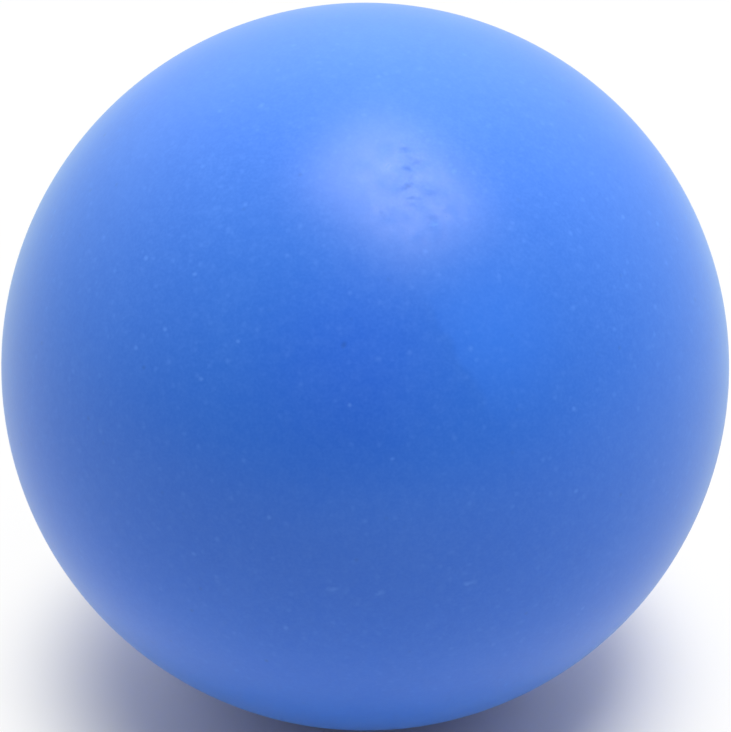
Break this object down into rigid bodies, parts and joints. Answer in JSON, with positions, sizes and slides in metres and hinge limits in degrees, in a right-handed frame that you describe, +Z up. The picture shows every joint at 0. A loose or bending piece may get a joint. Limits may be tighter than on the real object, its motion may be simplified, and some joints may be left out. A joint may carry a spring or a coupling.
{
  "type": "dodgeball",
  "caption": "Smooth round inflatable rubber ball for throwing and catching, with a thread-wound air bladder inside and a self-sealing needle valve in a shallow dish.",
  "frame": {"origin": "centre of the ball", "axes": "+Z up; +Y along the valve's axis, pointing out of the ball, so the valve is at the back and the plain side faces -Y"},
  "size_m": [0.216, 0.2155, 0.216],
  "materials": {
    "cover_rubber": "satin moulded rubber, slightly dusty",
    "nylon_thread": "wound nylon thread set in rubber cement",
    "patch_rubber": "matt cured rubber",
    "bladder_rubber": "matt butyl rubber",
    "boot_rubber": "moulded butyl rubber",
    "core_rubber": "soft moulded rubber, slightly waxy"
  },
  "bodies": {
    "root": {"cover": "cover_rubber", "thread_winding": "nylon_thread", "valve_patch": "patch_rubber", "bladder": "bladder_rubber", "valve_boot": "boot_rubber", "valve_core": "core_rubber"}
  },
  "joints": []
}
